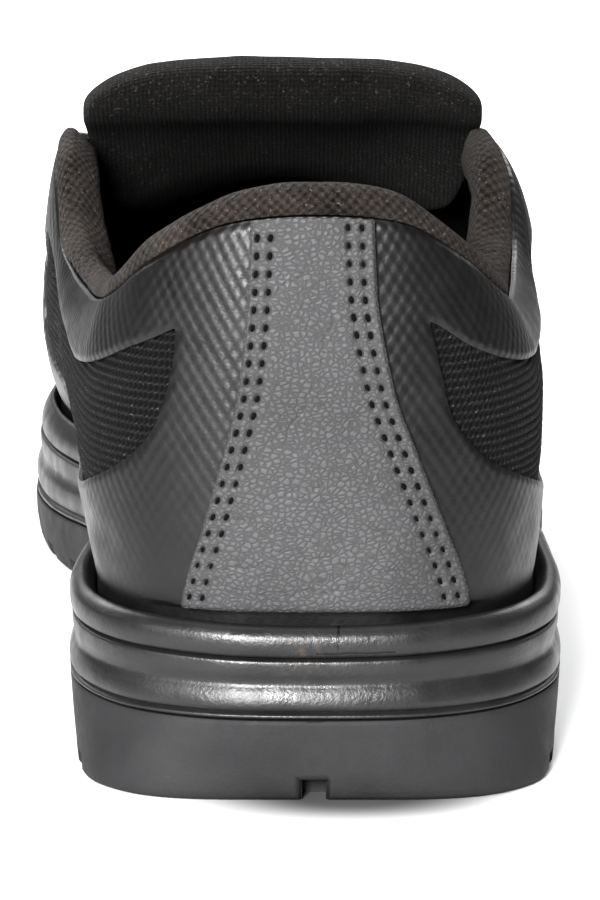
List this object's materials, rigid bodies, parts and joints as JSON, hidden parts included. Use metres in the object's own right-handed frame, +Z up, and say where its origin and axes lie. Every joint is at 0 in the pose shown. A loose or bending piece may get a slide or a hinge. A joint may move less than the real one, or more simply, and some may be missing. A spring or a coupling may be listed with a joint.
{
  "type": "work shoe",
  "caption": "Black low-cut work shoe for the right foot: padded collar and tongue, knit side windows, grained heel strip, cup sole with lugs.",
  "frame": {"origin": "on the floor under the middle of the heel", "axes": "+Y towards the toe, +X towards the outer side of the foot, +Z up"},
  "size_m": [0.1037, 0.29, 0.111],
  "materials": {
    "sole_rubber": "matte",
    "sole_foam": "satin",
    "upper_leather": "satin",
    "grained_leather": "satin",
    "lining_textile": "matte"
  },
  "bodies": {
    "root": {"outsole": "sole_rubber", "midsole": "sole_foam", "insole": "lining_textile", "upper": "upper_leather", "heel_strip": "grained_leather", "collar": "lining_textile", "tongue": "lining_textile"}
  },
  "joints": []
}
